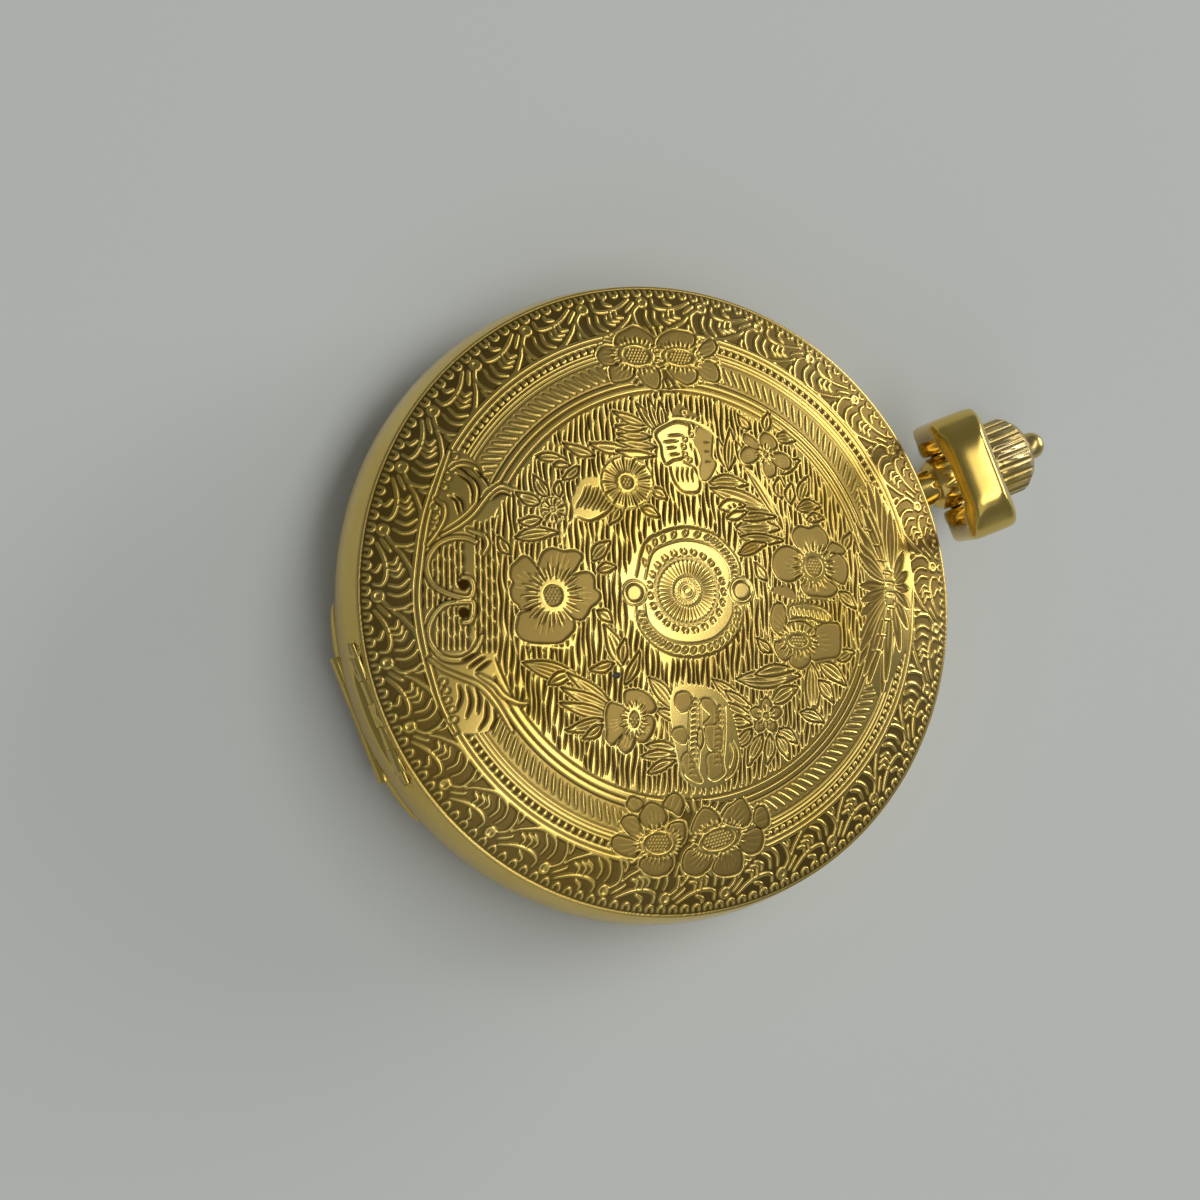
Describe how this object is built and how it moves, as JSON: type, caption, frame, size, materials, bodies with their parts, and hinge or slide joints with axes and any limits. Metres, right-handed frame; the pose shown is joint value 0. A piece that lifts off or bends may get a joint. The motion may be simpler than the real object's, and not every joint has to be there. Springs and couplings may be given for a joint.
{
  "type": "full hunter pocket watch",
  "caption": "Full hunter pocket watch with an engraved hinged cover over the dial, hinged back, swinging bow and fluted crown with a ball push button.",
  "frame": {"origin": "centre of the flat middle of the back cover, on the case axis, where the watch rests", "axes": "+Z out of the back towards the engraved front cover, +Y along the winding stem towards the crown, +X to the right of the dial"},
  "size_m": [0.0492, 0.0631, 0.0162],
  "materials": {
    "blued_steel": "blued steel",
    "crystal": "clear",
    "enamel": "white enamel",
    "gilt_plate": "frosted gilt",
    "gilt_wheel": "polished gilt brass",
    "gold": "polished yellow gold",
    "ruby": "red jewel",
    "steel": "polished steel"
  },
  "bodies": {
    "case": {"case_middle": "gold", "pendant": "gold", "back_hinge_pin": "gold", "front_hinge_pin": "gold", "bow_screws": "gold", "lift_spring": "steel", "bezel": "gold", "crystal": "crystal", "dial": "enamel", "mainplate": "gilt_plate", "barrel_bridge": "gilt_plate", "train_bridge": "gilt_plate", "balance_cock": "gilt_plate", "pallet_bridge": "gilt_plate", "plate_jewels": "ruby", "bridge_jewels": "ruby", "bridge_screws": "steel", "case_screws": "steel", "crown_wheel_screw": "steel", "click_spring": "steel", "hairspring": "blued_steel", "regulator": "steel"},
    "front_cover": {"front_cover": "gold"},
    "back_cover": {"back_cover": "gold"},
    "bow": {"bow": "gold"},
    "winding_pinion": {"winding_pinion": "steel"},
    "clutch": {"clutch_wheel": "steel"},
    "crown": {"crown": "gold", "winding_stem": "steel"},
    "button": {"crown_button": "gold"},
    "lock_spring": {"lock_spring": "steel"},
    "setting_lever": {"setting_lever": "steel"},
    "ratchet": {"ratchet_wheel": "steel", "barrel_arbor": "steel"},
    "crown_wheel": {"crown_wheel": "steel"},
    "click": {"click": "steel"},
    "barrel": {"barrel_drum": "gilt_wheel", "barrel_cover": "gilt_wheel", "mainspring": "steel"},
    "centre": {"centre_wheel": "gilt_wheel", "centre_pinion": "steel"},
    "minutes": {"cannon_pinion": "steel", "minute_hand": "blued_steel"},
    "minute_wheel": {"minute_wheel": "gilt_wheel"},
    "hours": {"hour_wheel": "gilt_wheel", "hour_hand": "blued_steel"},
    "third": {"third_wheel": "gilt_wheel", "third_pinion": "steel"},
    "fourth": {"fourth_wheel": "gilt_wheel", "fourth_pinion": "steel", "second_hand": "blued_steel"},
    "escape": {"escape_wheel": "steel", "escape_pinion": "steel"},
    "lever": {"pallet_fork": "steel", "pallet_stones": "ruby"},
    "balance": {"balance_wheel": "gilt_wheel", "balance_screws": "gilt_wheel", "balance_staff": "steel", "roller": "steel"}
  },
  "joints": [
    {"name": "front_cover_hinge", "type": "hinge", "parent": "case", "child": "front_cover", "pos_m": [0, -0.0237, 0.0081], "axis": [1, 0, 0], "range_deg": [0, 95]},
    {"name": "back_cover_hinge", "type": "hinge", "parent": "case", "child": "back_cover", "pos_m": [0, -0.02385, 0.00335], "axis": [-1, 0, 0], "range_deg": [0, 95]},
    {"name": "bow_swing", "type": "hinge", "parent": "case", "child": "bow", "pos_m": [0, 0.0289, 0.00475], "axis": [-1, 0, 0], "range_deg": [-13, 200]},
    {"name": "winding_spin", "type": "hinge", "parent": "case", "child": "winding_pinion", "pos_m": [0, 0.02, 0.00475], "axis": [0, 1, 0], "continuous": true},
    {"name": "crown_pull", "type": "slide", "parent": "winding_pinion", "child": "crown", "axis": [0, 1, 0], "range_m": [0, 0.0008]},
    {"name": "button_push", "type": "slide", "parent": "crown", "child": "button", "axis": [0, -1, 0], "range_m": [0, 0.0006], "stiffness_N_per_m": 300, "springref_m": -0.0003},
    {"name": "clutch_slide", "type": "slide", "parent": "winding_pinion", "child": "clutch", "axis": [0, -1, 0], "range_m": [0, 0.0007]},
    {"name": "lock_spring_bend", "type": "slide", "parent": "case", "child": "lock_spring", "axis": [0, -1, 0], "range_m": [0, 0.0003]},
    {"name": "setting_lever_move", "type": "slide", "parent": "case", "child": "setting_lever", "axis": [0, 1, 0], "range_m": [0, 0.0008]},
    {"name": "ratchet_spin", "type": "hinge", "parent": "case", "child": "ratchet", "pos_m": [-0.00795, 0.00423, 0.0019], "axis": [0, 0, 1], "continuous": true},
    {"name": "crown_wheel_spin", "type": "hinge", "parent": "case", "child": "crown_wheel", "pos_m": [0, 0.00975, 0.0019], "axis": [0, 0, 1], "continuous": true},
    {"name": "click_swing", "type": "hinge", "parent": "case", "child": "click", "pos_m": [-0.00923, 0.01151, 0.0019], "axis": [0, 0, 1], "range_deg": [0, 9], "stiffness_Nm_per_rad": 0.000002, "springref_deg": -11.46},
    {"name": "barrel_spin", "type": "hinge", "parent": "case", "child": "barrel", "pos_m": [-0.00795, 0.00423, 0.00365], "axis": [0, 0, 1], "continuous": true},
    {"name": "centre_spin", "type": "hinge", "parent": "case", "child": "centre", "pos_m": [0, 0, 0.00365], "axis": [0, 0, 1], "continuous": true},
    {"name": "minute_hand_spin", "type": "hinge", "parent": "case", "child": "minutes", "pos_m": [0, 0, 0.009], "axis": [0, 0, 1], "continuous": true},
    {"name": "minute_wheel_spin", "type": "hinge", "parent": "case", "child": "minute_wheel", "pos_m": [0.00255, 0.00255, 0.00775], "axis": [0, 0, 1], "continuous": true},
    {"name": "hour_hand_spin", "type": "hinge", "parent": "case", "child": "hours", "pos_m": [0, 0, 0.009], "axis": [0, 0, 1], "continuous": true},
    {"name": "third_spin", "type": "hinge", "parent": "case", "child": "third", "pos_m": [0.00289, -0.0054, 0.00365], "axis": [0, 0, 1], "continuous": true},
    {"name": "seconds_spin", "type": "hinge", "parent": "case", "child": "fourth", "pos_m": [0, -0.0096, 0.00365], "axis": [0, 0, 1], "continuous": true},
    {"name": "escape_spin", "type": "hinge", "parent": "case", "child": "escape", "pos_m": [-0.00095, -0.01373, 0.00365], "axis": [0, 0, 1], "continuous": true},
    {"name": "lever_rock", "type": "hinge", "parent": "case", "child": "lever", "pos_m": [-0.00355, -0.01212, 0.00365], "axis": [0, 0, 1], "range_deg": [-4, 4]},
    {"name": "balance_swing", "type": "hinge", "parent": "case", "child": "balance", "pos_m": [-0.00704, -0.00997, 0.00365], "axis": [0, 0, 1], "range_deg": [-220, 220], "stiffness_Nm_per_rad": 0.0000005}
  ],
  "couplings": [
    {"joint": "crown_wheel_spin", "follows": "ratchet_spin", "ratio": -1.3158},
    {"joint": "winding_spin", "follows": "ratchet_spin", "ratio": -2.5},
    {"joint": "clutch_slide", "follows": "crown_pull", "ratio": 0.875},
    {"joint": "setting_lever_move", "follows": "crown_pull", "ratio": 1},
    {"joint": "lock_spring_bend", "follows": "button_push", "ratio": 0.5},
    {"joint": "centre_spin", "follows": "barrel_spin", "ratio": -8},
    {"joint": "minute_hand_spin", "follows": "barrel_spin", "ratio": -8},
    {"joint": "minute_wheel_spin", "follows": "barrel_spin", "ratio": 2.6667},
    {"joint": "hour_hand_spin", "follows": "barrel_spin", "ratio": -0.66667},
    {"joint": "third_spin", "follows": "barrel_spin", "ratio": 64},
    {"joint": "seconds_spin", "follows": "barrel_spin", "ratio": -480},
    {"joint": "escape_spin", "follows": "barrel_spin", "ratio": 4800}
  ]
}
